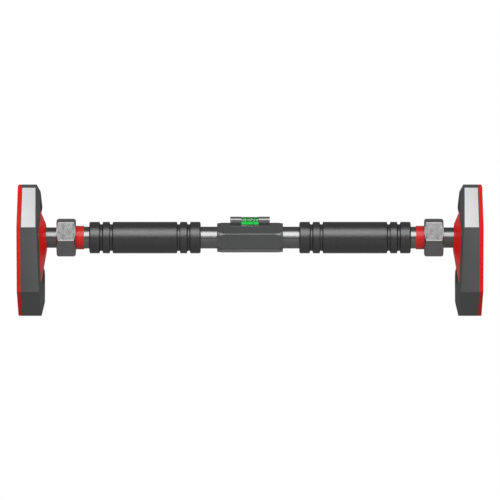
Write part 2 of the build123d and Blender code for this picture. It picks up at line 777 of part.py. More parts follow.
def vial_tube():
    """The clear barrel, closed at both ends, with a shallow groove for each marker line."""
    half = vial_length / 2
    barrel = along_vial(-half, half, vial_radius)
    barrel -= along_vial(-half + vial_wall, half - vial_wall, vial_radius - vial_wall)
    for x in marker_places():
        barrel -= marker_ring(x, vial_radius + 1)
    return lean(barrel)


def vial_marker_rings():
    return Compound([lean(marker_ring(x, vial_radius)) for x in marker_places()])


def bubble():
    """The air bubble, a capsule under the top of the barrel."""
    height = vial_height + vial_radius - vial_wall - bubble_radius - seat_gap
    capsule = Pos(0, 0, height) * rod(-bubble_length / 2, bubble_length / 2, bubble_radius)
    return lean(fillet(capsule.edges().filter_by(GeomType.CIRCLE), bubble_radius * 0.95))


def vial_liquid():
    half = vial_length / 2 - vial_wall
    return lean(along_vial(-half, half, vial_radius - vial_wall)) - bubble()


def vial_sleeves():
    """The two dark sleeves pushed over the vial's ends."""
    inner_end = vial_end - vial_sleeve_length
    sleeve = along_vial(inner_end, vial_end, vial_sleeve_radius)
    sleeve = chamfer(sleeve.edges().filter_by(GeomType.CIRCLE), vial_sleeve_edge)
    sleeve -= along_vial(inner_end - 1, vial_length / 2 + seat_gap, vial_radius + seat_gap)
    return Compound([lean(sleeve), lean(Rot(0, 0, 180) * sleeve)])


# ---- write every sub-part ------------------------------------------------------------
os.makedirs("parts", exist_ok=True)

save("outer_tube", outer_tube())
save("screw_anchor", screw_anchor())
save("anchor_pins", anchor_pins())
save_both_ends("lead_screw", lead_screw())
save_both_ends("screw_stop_washer", screw_stop_washer())
save_both_ends("screw_stop_bolt", screw_stop_bolt())
save_both_ends("foam_grip", foam_grip())
save_both_ends("threaded_collar", threaded_collar())

save_both_ends("lock_nut", lock_nut())
save_both_ends("clamp_ring", clamp_ring())
save_both_ends("glide_ring", glide_ring())

save_both_ends("inner_tube", inner_tube())
save_both_ends("drive_nut", drive_nut())
save_both_ends("drive_pins", drive_pins())
save_both_ends("circlip", circlip())
save_both_ends("tube_socket", tube_socket())
save_both_ends("socket_bolt", socket_bolt())
save_both_ends("socket_bolt_nut", socket_bolt_nut())
save_both_ends("hub_cover", hub_cover())
save_both_ends("hub_screws", hub_screws())
save_both_ends("plate_shell", plate_shell())
save_both_ends("trim_panels", trim_panels())
save_both_ends("backing_plate", backing_plate())
save_both_ends("plate_screws", plate_screws())
save_both_ends("rubber_pad", rubber_pad())

upper_half, lower_half = level_halves()
save("level_upper_half", upper_half)
save("level_lower_half", lower_half)
save("level_screws", level_screws())
save("vial_tube", vial_tube())
save("vial_liquid", vial_liquid())
save("vial_bubble", bubble())
save("vial_sleeves", vial_sleeves())
save("vial_marker_rings", vial_marker_rings())
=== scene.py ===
"""A doorway pull-up bar: a bright-plated centre tube with foam grips and a bubble level, and
at each end an inner tube that screws out, a lock nut and a hexagonal end plate with a pad.

X runs along the bar, Z is up, and the origin is on the bar's axis at mid-length. Metres.
"""

import json
from math import cos, pi, radians, sin, tan

import bmesh
import bpy
import numpy as np
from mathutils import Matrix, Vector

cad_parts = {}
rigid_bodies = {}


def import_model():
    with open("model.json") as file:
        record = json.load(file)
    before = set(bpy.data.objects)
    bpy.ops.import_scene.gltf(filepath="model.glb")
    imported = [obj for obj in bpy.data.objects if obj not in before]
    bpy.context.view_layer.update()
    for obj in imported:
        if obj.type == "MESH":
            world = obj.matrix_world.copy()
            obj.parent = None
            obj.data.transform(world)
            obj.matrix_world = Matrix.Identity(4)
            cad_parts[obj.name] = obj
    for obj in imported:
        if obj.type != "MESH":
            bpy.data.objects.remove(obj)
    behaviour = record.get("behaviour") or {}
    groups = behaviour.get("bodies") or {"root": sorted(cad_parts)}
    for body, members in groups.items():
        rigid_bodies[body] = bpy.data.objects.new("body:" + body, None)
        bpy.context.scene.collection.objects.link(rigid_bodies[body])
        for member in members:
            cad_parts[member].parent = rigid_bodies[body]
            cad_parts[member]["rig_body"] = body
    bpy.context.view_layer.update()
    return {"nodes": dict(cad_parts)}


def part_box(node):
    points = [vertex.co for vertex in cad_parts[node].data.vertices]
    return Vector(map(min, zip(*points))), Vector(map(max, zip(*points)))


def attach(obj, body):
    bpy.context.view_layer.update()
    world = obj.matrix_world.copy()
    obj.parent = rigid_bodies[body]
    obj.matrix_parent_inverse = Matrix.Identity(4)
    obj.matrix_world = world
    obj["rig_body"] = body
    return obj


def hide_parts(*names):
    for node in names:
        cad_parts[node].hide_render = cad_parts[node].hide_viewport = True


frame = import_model()

# ---- studio ---------------------------------------------------------------------------
# A white sweep, one large softbox above and in front that draws the long highlight on the
# tubes, and a broad fill beside the camera that lights the plastics but isn't mirrored.
scene = bpy.context.scene
scene.view_settings.view_transform = "Standard"
view_elevation = radians(9.7)
view_distance = 10.8
view_width = 0.777
aim = (0.0, 0.0, -0.01957)
sensor_width = 36.0
white = (1, 1, 1, 1)
room_light = 0.21
paper_grey = (0.42, 0.42, 0.42, 1)


def node(tree, kind, inputs=None, **settings):
    """A new shader node with its settings, and each of its inputs set or linked."""
    made = tree.nodes.new(kind)
    for key, value in settings.items():
        setattr(made, key, value)
    for key, value in (inputs or {}).items():
        if isinstance(value, bpy.types.NodeSocket):
            tree.links.new(value, made.inputs[key])
        else:
            made.inputs[key].default_value = value
    return made


def place(name, data, elevation, distance):
    """An object on the arc in front of the bar, at that elevation, that faces the aim."""
    made = bpy.data.objects.new(name, data)
    scene.collection.objects.link(made)
    made.location = (aim[0], -distance * cos(elevation), aim[2] + distance * sin(elevation))
    made.rotation_euler = (pi / 2 - elevation, 0, 0)
    return made


def softbox(name, elevation, distance, width, height, watts, mirrored):
    """A rectangular light that faces the bar."""
    light = bpy.data.lights.new(name, "AREA")
    light.shape = "RECTANGLE"
    light.size = width
    light.size_y = height
    light.energy = watts
    made = place(name, light, elevation, distance)
    made.visible_glossy = mirrored
    return made


camera_data = bpy.data.cameras.new("camera")
camera_data.sensor_width = sensor_width
camera_data.lens = sensor_width * view_distance / view_width
scene.camera = place("camera", camera_data, view_elevation, view_distance)

softbox("key_softbox", elevation=radians(48.5), distance=2.6, width=2.6, height=2.1, watts=58,
        mirrored=True)
softbox("front_fill", elevation=radians(12), distance=4.0, width=3.0, height=2.0, watts=66,
        mirrored=False)

world = bpy.data.worlds.new("studio_air")
world.use_nodes = True
scene.world = world
air = world.node_tree
air.nodes.clear()
seen = node(air, "ShaderNodeLightPath")
white_air = node(air, "ShaderNodeBackground", {"Color": white, "Strength": 1.0})
room_air = node(air, "ShaderNodeBackground", {"Color": white, "Strength": room_light})
mixed = node(air, "ShaderNodeMixShader", {0: seen.outputs["Is Camera Ray"], 1: room_air.outputs[0],
                                          2: white_air.outputs[0]})
node(air, "ShaderNodeOutputWorld", {"Surface": mixed.outputs[0]})

floor_half = 4.0
floor_height = -0.35
floor_corners = ((-1, -1), (1, -1), (1, 1), (-1, 1))
floor_mesh = bpy.data.meshes.new("floor")
floor_mesh.from_pydata(
    [(x * floor_half, y * floor_half, floor_height) for x, y in floor_corners],
    [], [(0, 1, 2, 3)])
floor = bpy.data.objects.new("floor", floor_mesh)
scene.collection.objects.link(floor)
paper = bpy.data.materials.new("white_paper")
paper.use_nodes = True
sheet = paper.node_tree
sheet.nodes.clear()
path = node(sheet, "ShaderNodeLightPath")
matt = node(sheet, "ShaderNodeBsdfDiffuse", {"Color": paper_grey})
glow = node(sheet, "ShaderNodeEmission", {"Color": white, "Strength": 1.0})
either = node(sheet, "ShaderNodeMixShader", {0: path.outputs["Is Camera Ray"], 1: matt.outputs[0],
                                             2: glow.outputs[0]})
node(sheet, "ShaderNodeOutputMaterial", {"Surface": either.outputs[0]})
floor_mesh.materials.append(paper)


# ---- centre tube ----------------------------------------------------------------------
# A drawn steel tube, ground and plated dark and bright. Two pins through it hold the plug
# that both lead screws are fixed in, and their rounded ends hide under the level.
def effect(name, inputs, outputs):
    """An empty node group with named sockets: (name, kind, default) in, (name, kind) out."""
    group = bpy.data.node_groups.new(name, "ShaderNodeTree")
    for label, kind, default in inputs:
        socket = group.interface.new_socket(label, in_out="INPUT", socket_type=kind)
        socket.default_value = default
    for label, kind in outputs:
        group.interface.new_socket(label, in_out="OUTPUT", socket_type=kind)
    return group, group.nodes.new("NodeGroupInput"), group.nodes.new("NodeGroupOutput")


skin_outputs = [("Color", "NodeSocketColor"), ("Roughness", "NodeSocketFloat"),
                ("Normal", "NodeSocketVector")]


def give(group, given, color, rough, bump):
    """Link an effect's colour, roughness and normal to its outputs."""
    for key, made in (("Color", color), ("Roughness", rough), ("Normal", bump)):
        group.links.new(made.outputs[0], given.inputs[key])


def tone(tree, color, mask, amount):
    """A colour that a mask from 0 to 1 makes darker or lighter by up to half that share."""
    spread = node(tree, "ShaderNodeMath", {0: mask, 1: 0.5}, operation="SUBTRACT")
    share = node(tree, "ShaderNodeMath", {0: spread.outputs[0], 1: amount}, operation="MULTIPLY")
    gain = node(tree, "ShaderNodeMath", {0: share.outputs[0], 1: 1.0}, operation="ADD")
    return node(tree, "ShaderNodeVectorMath", {0: color, "Scale": gain.outputs[0]},
                operation="SCALE")


def gloss(tree, rough, mask, amount):
    """A roughness that a mask from 0 to 1 raises by up to that amount."""
    return node(tree, "ShaderNodeMath", {0: mask, 1: amount, 2: rough}, operation="MULTIPLY_ADD")


ring_spread = 30.0
ring_tone = 0.25
metal_cloud_scale = 35.0
metal_gloss_change = 0.12
grain_height = 0.0002


def drawn_metal_group():
    """Fine rings round the bar's axis: noise that changes fast along X and slowly across."""
    group, taken, given = effect(
        "drawn_metal",
        [("Color", "NodeSocketColor", (0.2, 0.2, 0.2, 1)), ("Roughness", "NodeSocketFloat", 0.25),
         ("Rings", "NodeSocketFloat", 900.0), ("Depth", "NodeSocketFloat", 0.05)],
        skin_outputs)
    where = node(group, "ShaderNodeTexCoord")
    parts = node(group, "ShaderNodeSeparateXYZ", {0: where.outputs["Object"]})
    along = node(group, "ShaderNodeMath", {0: parts.outputs[0], 1: taken.outputs["Rings"]},
                 operation="MULTIPLY")
    across = [node(group, "ShaderNodeMath", {0: parts.outputs[axis], 1: ring_spread},
                   operation="MULTIPLY") for axis in (1, 2)]
    spot = node(group, "ShaderNodeCombineXYZ", {0: along.outputs[0], 1: across[0].outputs[0],
                                                2: across[1].outputs[0]})
    rings = node(group, "ShaderNodeTexNoise", {"Vector": spot.outputs[0], "Scale": 1.0,
                                               "Detail": 3.0})
    cloud = node(group, "ShaderNodeTexNoise", {"Vector": where.outputs["Object"],
                                               "Scale": metal_cloud_scale, "Detail": 4.0})
    color = tone(group, taken.outputs["Color"], rings.outputs[0], ring_tone)
    rough = gloss(group, taken.outputs["Roughness"], cloud.outputs[0], metal_gloss_change)
    bump = node(group, "ShaderNodeBump", {"Strength": taken.outputs["Depth"],
                                          "Distance": grain_height, "Height": rings.outputs[0]})
    give(group, given, color, rough, bump)
    return group


drawn_metal = drawn_metal_group()


def finish_material(name, group, values, **constants):
    """A material whose colour, roughness and normal come from a shared effect. The values go to
    the effect's inputs, and the constants straight to the shader's own sockets."""
    made = bpy.data.materials.new(name)
    made.use_nodes = True
    tree = made.node_tree
    shader = tree.nodes["Principled BSDF"]
    skin = node(tree, "ShaderNodeGroup", node_tree=group)
    for key, value in values.items():
        skin.inputs[key].default_value = (*value, 1) if isinstance(value, tuple) else value
    for key, socket in (("Color", "Base Color"), ("Roughness", "Roughness"), ("Normal", "Normal")):
        tree.links.new(skin.outputs[key], shader.inputs[socket])
    for key, value in constants.items():
        shader.inputs[key.replace("_", " ")].default_value = value
    return made


def dress(material, *names):
    """Give CAD nodes a material."""
    for name in names:
        slots = frame["nodes"][name].data.materials
        slots.clear()
        slots.append(material)


def both(*names):
    """The names of a part's left-hand and right-hand nodes."""
    return [f"{side}_{name}" for name in names for side in ("left", "right")]


dark_chrome = finish_material(
    "dark_chrome", drawn_metal,
    {"Color": (0.24, 0.24, 0.244), "Roughness": 0.2, "Rings": 1200.0, "Depth": 0.004},
    Metallic=1.0)
zinc = finish_material(
    "zinc_plate", drawn_metal,
    {"Color": (0.55, 0.56, 0.58), "Roughness": 0.3, "Rings": 1500.0, "Depth": 0.1},
    Metallic=1.0)
dress(dark_chrome, "outer_tube")
dress(zinc, "screw_anchor", "anchor_pins")


# ---- lead screws ----------------------------------------------------------------------
# Rolled steel screws, 20 mm over the thread and 4 mm to a turn, that stand in the plug at
# mid-length. A washer and a socket-head bolt on the far end stop the drive nut coming off.
def closed_mesh(name, points, capped):
    """A mesh from a grid of points, whose columns close on themselves. The rows close on
    themselves too, or end in a flat cap at each end."""
    rows, columns = points.shape[:2]
    row = np.arange(rows if not capped else rows - 1)[:, None]
    column = np.arange(columns)[None, :]
    next_row = (row + 1) % rows
    next_column = (column + 1) % columns
    corners = (row * columns + column, row * columns + next_column,
               next_row * columns + next_column, next_row * columns + column)
    quads = np.stack(np.broadcast_arrays(*corners), axis=-1).reshape(-1, 4)
    loops = quads.ravel()
    counts = np.full(len(quads), 4)
    if capped:
        last = (rows - 1) * columns
        loops = np.concatenate([loops, np.arange(columns)[::-1], last + np.arange(columns)])
        counts = np.concatenate([counts, [columns, columns]])
    mesh = bpy.data.meshes.new(name)
    mesh.vertices.add(rows * columns)
    mesh.vertices.foreach_set("co", points.reshape(-1).astype(np.float32))
    mesh.loops.add(len(loops))
    mesh.loops.foreach_set("vertex_index", loops.astype(np.int32))
    mesh.polygons.add(len(counts))
    starts = np.concatenate([[0], np.cumsum(counts)[:-1]])
    mesh.polygons.foreach_set("loop_start", starts.astype(np.int32))
    mesh.update(calc_edges=True)
    return mesh


def outward(mesh, crease):
    """Point a closed mesh's faces outwards and shade it smooth up to a crease angle."""
    shell = bmesh.new()
    shell.from_mesh(mesh)
    bmesh.ops.recalc_face_normals(shell, faces=shell.faces)
    shell.to_mesh(mesh)
    shell.free()
    mesh.shade_smooth()
    mesh.set_sharp_from_angle(angle=crease)


def fitted(name, mesh, material, slot, body, *replaced):
    """A new piece with its material, its body and the CAD nodes that it stands for. Its slot is
    not used.
    """
    mesh.materials.clear()
    mesh.materials.append(material)
    piece = bpy.data.objects.new(name, mesh)
    scene.collection.objects.link(piece)
    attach(piece, body)
    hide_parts(*replaced)
    return piece


def round_bar(x, radius, turn):
    """Points at a place along the bar, a radius and a turn about its axis from the front."""
    return np.stack([x, -radius * np.cos(turn), radius * np.sin(turn)], axis=-1)


def thread_height(x, turn, pitch, flat):
    """A trapezoid thread's height from 0 to 1: a triangle wave in the distance from the helix
    x = pitch * turn / 2 pi, cut off at its crest and root so that each is that share flat."""
    wave = np.abs(2 * np.mod(x / pitch - turn / (2 * pi), 1) - 1)
    return np.clip((wave - flat) / (1 - 2 * flat), 0, 1)


bar_ends = (("right", 1), ("left", -1))


def both_ends(make, name, material, slot, body, crease):
    """Fit a piece at each end. The left one is the right one turned half way round."""
    made = []
    for side, turned in bar_ends:
        points, capped = make()
        mesh = closed_mesh(f"{side}_{name}_fine", points * (turned, turned, 1), capped)
        outward(mesh, crease)
        rides = body if body == "bar" else f"{side}_{body}"
        made.append(fitted(f"{side}_{name}_fine", mesh, material, slot, rides, f"{side}_{name}"))
    return made


screw_pitch = 0.004
screw_thread_depth = 0.0016
screw_run_out = 0.002
screw_rows_per_pitch = 10
screw_columns = 40
thread_flat = 0.3
surface_gap = 1e-5


def lead_screw():
    """Radius = crest - depth * (1 - thread height), on a grid of places along the bar and turns.
    The thread fades out at each end."""
    low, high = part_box("right_lead_screw")
    x = np.arange(low.x, high.x, screw_pitch / screw_rows_per_pitch)[:, None]
    turn = np.linspace(0, 2 * pi, screw_columns, endpoint=False)[None, :]
    crest = high.z - surface_gap
    fade = np.clip(np.minimum(x - low.x, high.x - x) / screw_run_out, 0, 1)
    height = thread_height(x, turn, screw_pitch, thread_flat) * fade
    radius = crest - screw_thread_depth * (1 - height)
    x, turn = np.broadcast_arrays(x, turn)
    return round_bar(x, radius, turn), True


steel = finish_material(
    "oiled_steel", drawn_metal,
    {"Color": (0.33, 0.33, 0.34), "Roughness": 0.28, "Rings": 700.0, "Depth": 0.1},
    Metallic=1.0)
both_ends(lead_screw, "lead_screw", steel, "zinc_steel", "bar", crease=radians(35))
dress(zinc, *both("screw_stop_washer", "screw_stop_bolt"))


# ---- foam grips -----------------------------------------------------------------------
# Sleeves of closed-cell foam, moulded with two pairs of grooves, that are pushed on to the
# tube. Their satin skin has fine pores, and it was ground round the bar.
def smooth_step(value, low, high):
    """0 below low, 1 above high, and a smooth cubic between."""
    share = np.clip((value - low) / (high - low), 0, 1)
    return share * share * (3 - 2 * share)


grip_groove_depth = 0.0038
grip_groove_half = 0.0024
grip_groove_slope = 0.0013
grip_end_band = 0.0162
grip_mid_band = 0.0108
grip_corner = 0.0025
grip_bore_gap = 0.00006
grip_rows = 320
grip_rows_per_bore_row = 16
grip_columns = 96


def foam_grip():
    """The section is the outer radius, less the grooves' smooth steps and the ends' quarter
    circles, then the bore. It's carried round the bar."""
    low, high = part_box("right_foam_grip")
    outer = high.z
    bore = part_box("outer_tube")[1].z + grip_bore_gap
    first = grip_end_band + grip_groove_half
    second = first + 2 * grip_groove_half + grip_mid_band
    x = np.linspace(low.x, high.x, grip_rows)
    radius = np.full_like(x, outer)
    open_half = grip_groove_half + grip_groove_slope / 3
    for centre in (low.x + first, low.x + second, high.x - first, high.x - second):
        wall = smooth_step(np.abs(x - centre), open_half - grip_groove_slope, open_half)
        radius -= grip_groove_depth * (1 - wall)
    inside = np.clip(grip_corner - np.minimum(x - low.x, high.x - x), 0, grip_corner)
    radius -= grip_corner - np.sqrt(grip_corner**2 - inside**2)
    back_x = x[::-1][::grip_rows_per_bore_row]
    section_x = np.concatenate([x, back_x])
    section_r = np.concatenate([radius, np.full(len(back_x), bore)])
    turn = np.linspace(0, 2 * pi, grip_columns, endpoint=False)[:, None]
    section_x, section_r, turn = np.broadcast_arrays(section_x[None, :], section_r[None, :], turn)
    return round_bar(section_x, section_r, turn), False


foam_dark = (0.009, 0.009, 0.0095, 1)
foam_light = (0.022, 0.022, 0.0225, 1)
foam_smoothest = 0.27
foam_roughest = 0.35
pore_scale = 1300.0
pore_height = 0.0003
grind_scale = (900, 60, 60)
patch_scale = 45.0
foam = bpy.data.materials.new("foam_skin")
foam.use_nodes = True
foam_tree = foam.node_tree
foam_shader = foam_tree.nodes["Principled BSDF"]
where = node(foam_tree, "ShaderNodeTexCoord").outputs["Object"]
pores = node(foam_tree, "ShaderNodeTexVoronoi", {"Vector": where, "Scale": pore_scale})
grind_spot = node(foam_tree, "ShaderNodeMapping", {"Vector": where, "Scale": grind_scale})
grind = node(foam_tree, "ShaderNodeTexNoise", {"Vector": grind_spot.outputs[0], "Scale": 1.0,
                                               "Detail": 4.0})
patches = node(foam_tree, "ShaderNodeTexNoise", {"Vector": where, "Scale": patch_scale,
                                                 "Detail": 5.0})
foam_height = node(foam_tree, "ShaderNodeMath", {0: pores.outputs[0], 1: grind.outputs[0]},
                   operation="ADD")
foam_bump = node(foam_tree, "ShaderNodeBump", {"Strength": 0.35, "Distance": pore_height,
                                               "Height": foam_height.outputs[0]})
foam_rough = node(foam_tree, "ShaderNodeMapRange", {
    "Value": patches.outputs[0], "To Min": foam_smoothest, "To Max": foam_roughest})
foam_color = node(foam_tree, "ShaderNodeMix", {
    "Factor": grind.outputs[0], "A": foam_dark, "B": foam_light}, data_type="RGBA")
foam_tree.links.new(foam_color.outputs[2], foam_shader.inputs["Base Color"])
foam_tree.links.new(foam_rough.outputs[0], foam_shader.inputs["Roughness"])
foam_tree.links.new(foam_bump.outputs[0], foam_shader.inputs["Normal"])
foam_shader.inputs["Specular IOR Level"].default_value = 1.0
for grip in both_ends(foam_grip, "foam_grip", foam, "black_foam", "bar", crease=radians(60)):
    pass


# ---- threaded collars -----------------------------------------------------------------
# Moulded red collars on the tube's two ends. Each has a coarse thread for the lock nut, 3 mm
# to a turn, and a tapered nose slit into four fingers that the clamp ring squeezes.
broad_scale = 28.0
moulded_tone = 0.16
moulded_gloss_change = 0.1


def moulded_group():
    """Moulded plastic or rubber: fine pebbles of noise for the grain, broad noise for tone,
    and a slow change in gloss."""
    group, taken, given = effect(
        "moulded_skin",
        [("Color", "NodeSocketColor", (0.1, 0.1, 0.1, 1)), ("Roughness", "NodeSocketFloat", 0.4),
         ("Grain", "NodeSocketFloat", 1500.0), ("Depth", "NodeSocketFloat", 0.1)],
        skin_outputs)
    spot = node(group, "ShaderNodeTexCoord").outputs["Object"]
    pebbles = node(group, "ShaderNodeTexNoise", {"Vector": spot, "Scale": taken.outputs["Grain"],
                                                 "Detail": 2.0})
    broad = node(group, "ShaderNodeTexNoise", {"Vector": spot, "Scale": broad_scale,
                                               "Detail": 5.0})
    color = tone(group, taken.outputs["Color"], broad.outputs[0], moulded_tone)
    rough = gloss(group, taken.outputs["Roughness"], broad.outputs[0], moulded_gloss_change)
    bump = node(group, "ShaderNodeBump", {"Strength": taken.outputs["Depth"],
                                          "Distance": grain_height, "Height": pebbles.outputs[0]})
    give(group, given, color, rough, bump)
    return group


moulded = moulded_group()
collar_pitch = 0.003
collar_thread_depth = 0.0003
collar_nose_length = 0.007
collar_nose_drop = 0.00165
collar_slot_start = 0.0204
collar_slot_half = 0.0008
collar_wall_gap = 0.00006
collar_tube_gap = 0.0001
collar_plain_rim = 0.0008
collar_run_out = 0.002
collar_rows = 90
collar_rows_per_bore_row = 6
collar_columns = 120
finger_overlap = 0.0004
finger_rows = 24
finger_columns = 20


def collar_radii(x, turn):
    """The collar's outer radius: a thread up to the slots, then plain, then tapered."""
    low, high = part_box("right_threaded_collar")
    slots = low.x + collar_slot_start
    ramp = smooth_step(x, low.x + collar_plain_rim, low.x + collar_run_out)
    ramp = ramp * (1 - smooth_step(x, slots - collar_run_out, slots))
    groove = (1 - thread_height(x, turn, collar_pitch, thread_flat)) * collar_thread_depth * ramp
    nose = np.clip((x - high.x + collar_nose_length) / collar_nose_length, 0, 1)
    return high.z - surface_gap - groove - nose * collar_nose_drop


def collar_bore(x):
    """The collar's bore: over the centre tube, then stepped down over the inner tube."""
    tube_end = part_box("outer_tube")[1]
    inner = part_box("right_inner_tube")[1].z
    return np.where(x < tube_end.x, tube_end.z + collar_wall_gap, inner + collar_tube_gap)


def collar_sleeve():
    """The threaded part, its section carried round the bar."""
    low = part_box("right_threaded_collar")[0]
    x = np.linspace(low.x, low.x + collar_slot_start, collar_rows)
    turn = np.linspace(0, 2 * pi, collar_columns, endpoint=False)[:, None]
    outer = collar_radii(x[None, :], turn)
    back = x[::-1][::collar_rows_per_bore_row]
    inner = np.broadcast_to(collar_bore(back), (len(turn), len(back)))
    section_x = np.broadcast_to(np.concatenate([x, back]), (len(turn), len(x) + len(back)))
    radius = np.concatenate([outer, inner], axis=1)
    return round_bar(section_x, radius, np.broadcast_to(turn, radius.shape)), False


def collar_finger(quarter):
    """One finger of the nose: its section carried round less than a quarter turn."""
    low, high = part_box("right_threaded_collar")
    x = np.linspace(low.x + collar_slot_start - finger_overlap, high.x, finger_rows)
    gap = collar_slot_half / high.z
    first = quarter * pi / 2 - pi / 4 + gap
    last = quarter * pi / 2 + pi / 4 - gap
    turn = np.linspace(first, last, finger_columns)[:, None]
    section_x = np.concatenate([x, x[::-1]])
    radius = np.concatenate([collar_radii(x, 0 * x), collar_bore(x[::-1])])
    section_x, radius, turn = np.broadcast_arrays(section_x[None, :], radius[None, :], turn)
    return round_bar(section_x, radius, turn), True


def joined(name, meshes):
    """One mesh that holds several closed ones."""
    shell = bmesh.new()
    for mesh in meshes:
        shell.from_mesh(mesh)
        bpy.data.meshes.remove(mesh)
    made = bpy.data.meshes.new(name)
    shell.to_mesh(made)
    shell.free()
    return made


red_collar = finish_material(
    "red_collar", moulded,
    {"Color": (0.55, 0.005, 0.005), "Roughness": 0.27, "Grain": 1800.0, "Depth": 0.012},
    Coat_Weight=0.3, Coat_Roughness=0.2)
for side, turned in bar_ends:
    collar_name = f"{side}_threaded_collar"
    forms = [collar_sleeve()] + [collar_finger(quarter) for quarter in range(4)]
    meshes = [closed_mesh("collar_form", points * (turned, turned, 1), capped)
              for points, capped in forms]
    collar = joined(f"{collar_name}_fine", meshes)
    outward(collar, crease=radians(35))
    fitted(f"{collar_name}_fine", collar, red_collar, "red_collar", "bar", collar_name)


# ---- lock nuts ------------------------------------------------------------------------
# Hexagonal nuts in glossy grey, each face knurled in a sunken panel for the hand. They screw
# along the collar and push the clamp ring up the fingers, which grips the inner tube.
nut_edge_radius = 0.0016
nut_chamfer = 0.0026
nut_chamfer_slope = 1.6
nut_panel_border = 0.0013
nut_panel_depth = 0.0002
nut_knurl_pitch = 0.0021
nut_knurl_depth = 0.00028
nut_knurl_width = 0.5
nut_panel_slope = 0.0006
nut_lip = 0.0059
nut_thread_gap = 0.00005
nut_tube_gap = 0.0004
nut_rows = 112
nut_columns_per_side = 92


def lock_nut():
    """The outer radius is a hexagon's with arcs at its corners, less the knurled panels, and
    never more than the cone that chamfers each end. The section closes through the bore."""
    low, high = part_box("right_lock_nut")
    flat = high.z
    side = np.linspace(-1, 1, nut_columns_per_side, endpoint=False) + 1 / nut_columns_per_side
    side = side * tan(pi / 6)
    local = np.tile(np.arctan(side), 6)
    lateral = np.tile(side, 6) * flat
    turn = (local + np.repeat(np.arange(6) * pi / 3 + pi / 6, nut_columns_per_side))[:, None]
    x = np.linspace(low.x, high.x, nut_rows)
    from_end = np.minimum(x - low.x, high.x - x)[None, :]
    half_side = (flat - nut_edge_radius) * tan(pi / 6)
    centre = (flat - nut_edge_radius) / cos(pi / 6)
    from_corner = pi / 6 - np.abs(local)
    arc = np.sqrt(np.clip(nut_edge_radius**2 - (centre * np.sin(from_corner)) ** 2, 0, None))
    arc = arc + centre * np.cos(from_corner)
    on_arc = np.abs(lateral) > half_side
    hexagon = np.where(on_arc, arc, flat / np.cos(local))[:, None]

    edge = np.minimum((half_side - np.abs(lateral))[:, None], from_end)
    panel = smooth_step(edge, nut_panel_border, nut_panel_border + nut_panel_slope)
    one, two = [np.abs(2 * np.mod((x[None, :] + lean * lateral[:, None]) / nut_knurl_pitch, 1) - 1)
                for lean in (1, -1)]
    knurl = 1 - smooth_step(np.minimum(one, two), 0.0, nut_knurl_width)
    sunk = nut_panel_depth + nut_knurl_depth * knurl
    hexagon = hexagon - panel * sunk / np.cos(local)[:, None]

    corner = centre + nut_edge_radius
    cone = corner - nut_chamfer_slope * np.clip(nut_chamfer - from_end, 0, None)
    outer = np.minimum(hexagon, cone)
    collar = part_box("right_threaded_collar")[1].z + nut_thread_gap
    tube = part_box("right_inner_tube")[1].z + nut_tube_gap
    lip = high.x - nut_lip
    back_x = np.array([high.x, lip, lip, low.x])
    back_r = np.broadcast_to([tube, tube, collar, collar], (len(turn), len(back_x)))
    section_x = np.broadcast_to(np.concatenate([x, back_x]), (len(turn), len(x) + len(back_x)))
    radius = np.concatenate([outer, back_r], axis=1)
    return round_bar(section_x, radius, np.broadcast_to(turn, radius.shape)), False


grey_nut = finish_material(
    "grey_nut", moulded,
    {"Color": (0.22, 0.221, 0.224), "Roughness": 0.25, "Grain": 1600.0, "Depth": 0.012},
    Metallic=0.8, Coat_Weight=0.5, Coat_Roughness=0.15)
both_ends(lock_nut, "lock_nut", grey_nut, "grey_nut", "nut", crease=radians(40))
acetal = finish_material(
    "natural_acetal", moulded,
    {"Color": (0.78, 0.77, 0.72), "Roughness": 0.35, "Grain": 900.0, "Depth": 0.05},
    Subsurface_Weight=0.1)
dress(acetal, *both("clamp_ring", "glide_ring"))


# ---- inner tubes and drive nuts -------------------------------------------------------
# Plated tubes that slide in the centre tube. Each has a turned brass nut pinned in its inner
# end, which runs on the lead screw, and a circlip holds the glide ring on the nut's spigot.
inner_chrome = finish_material(
    "inner_tube_chrome", drawn_metal,
    {"Color": (0.195, 0.193, 0.194), "Roughness": 0.22, "Rings": 1000.0, "Depth": 0.006},
    Metallic=1.0)
brass = finish_material(
    "turned_brass", drawn_metal,
    {"Color": (0.75, 0.53, 0.22), "Roughness": 0.25, "Rings": 2200.0, "Depth": 0.15},
    Metallic=1.0)
dress(inner_chrome, *both("inner_tube"))
dress(brass, *both("drive_nut"))
dress(steel, *both("drive_pins", "circlip"))


# ---- end plates -----------------------------------------------------------------------
# Each end is a moulded grey shell screwed to a steel backing plate, with two pale panels
# pressed into its upper slopes. The sleeve that takes the inner tube is welded to the plate.
merge_distance = 1e-6
flat_angle = radians(1)
bevel_steps = 3


def softened(name, crease, width, material, slot):
    """A merged copy of a CAD node's mesh whose sharp edges are rounded by a small bevel."""
    source = frame["nodes"][name]
    mesh = source.data.copy()
    mesh.name = f"{name}_fine"
    shell = bmesh.new()
    shell.from_mesh(mesh)
    bmesh.ops.remove_doubles(shell, verts=shell.verts, dist=merge_distance)
    bmesh.ops.dissolve_limit(shell, angle_limit=flat_angle, verts=shell.verts, edges=shell.edges)
    shell.to_mesh(mesh)
    shell.free()
    mesh.shade_smooth()
    piece = fitted(f"{name}_fine", mesh, material, slot, source["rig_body"], name)
    bevel = piece.modifiers.new("soft_edges", "BEVEL")
    bevel.width = width
    bevel.segments = bevel_steps
    bevel.limit_method = "ANGLE"
    bevel.angle_limit = crease
    bevel.harden_normals = True
    return piece


